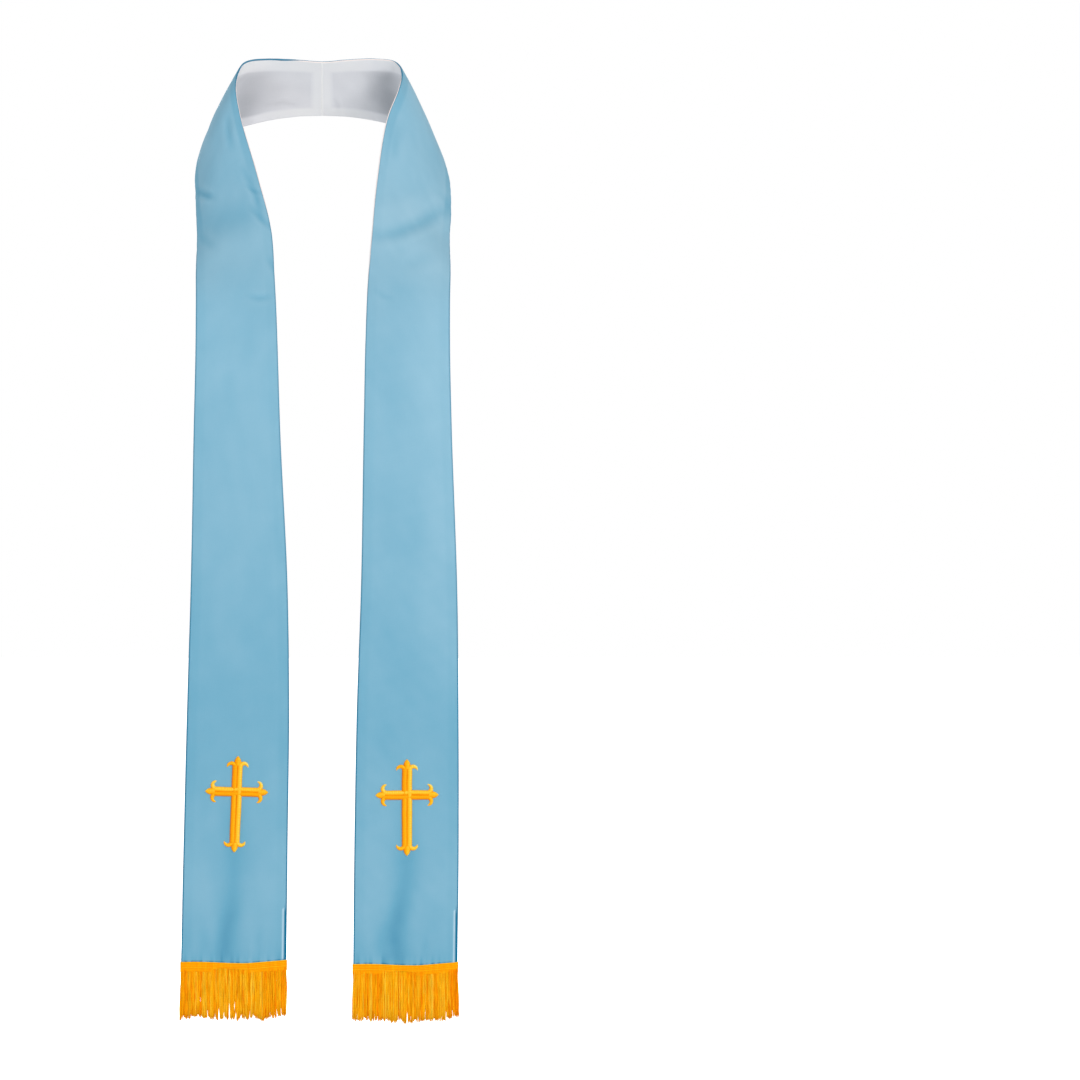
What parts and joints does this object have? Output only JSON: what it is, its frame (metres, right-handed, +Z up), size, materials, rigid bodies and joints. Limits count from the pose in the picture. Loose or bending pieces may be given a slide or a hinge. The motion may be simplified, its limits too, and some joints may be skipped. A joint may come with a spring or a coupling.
{
  "type": "clerical stole",
  "caption": "Reversible clerical stole worn round the neck: light-blue satin outside, white inside, a gold cross and gold fringe on each hanging end.",
  "frame": {"origin": "the nape: middle of the neck band's top edge at the centre-back seam, where the wearer's neck holds it", "axes": "+Z up, the worn front faces -Y, the viewer's right in the front view is +X"},
  "size_m": [0.335, 0.2712, 1.1777],
  "materials": {
    "satin_light_blue": "polyester satin, soft sheen",
    "satin_white": "polyester satin, soft sheen",
    "gold_embroidery": "rayon embroidery thread in satin stitch",
    "gold_fringe_yarn": "rayon fringe yarn on a woven heading"
  },
  "bodies": {
    "root": {"face_left": "satin_light_blue", "lining_left": "satin_white", "fringe_left": "gold_fringe_yarn", "face_cross_left": "gold_embroidery", "lining_cross_left": "gold_embroidery", "face_right": "satin_light_blue", "lining_right": "satin_white", "fringe_right": "gold_fringe_yarn", "face_cross_right": "gold_embroidery", "lining_cross_right": "gold_embroidery"}
  },
  "joints": []
}
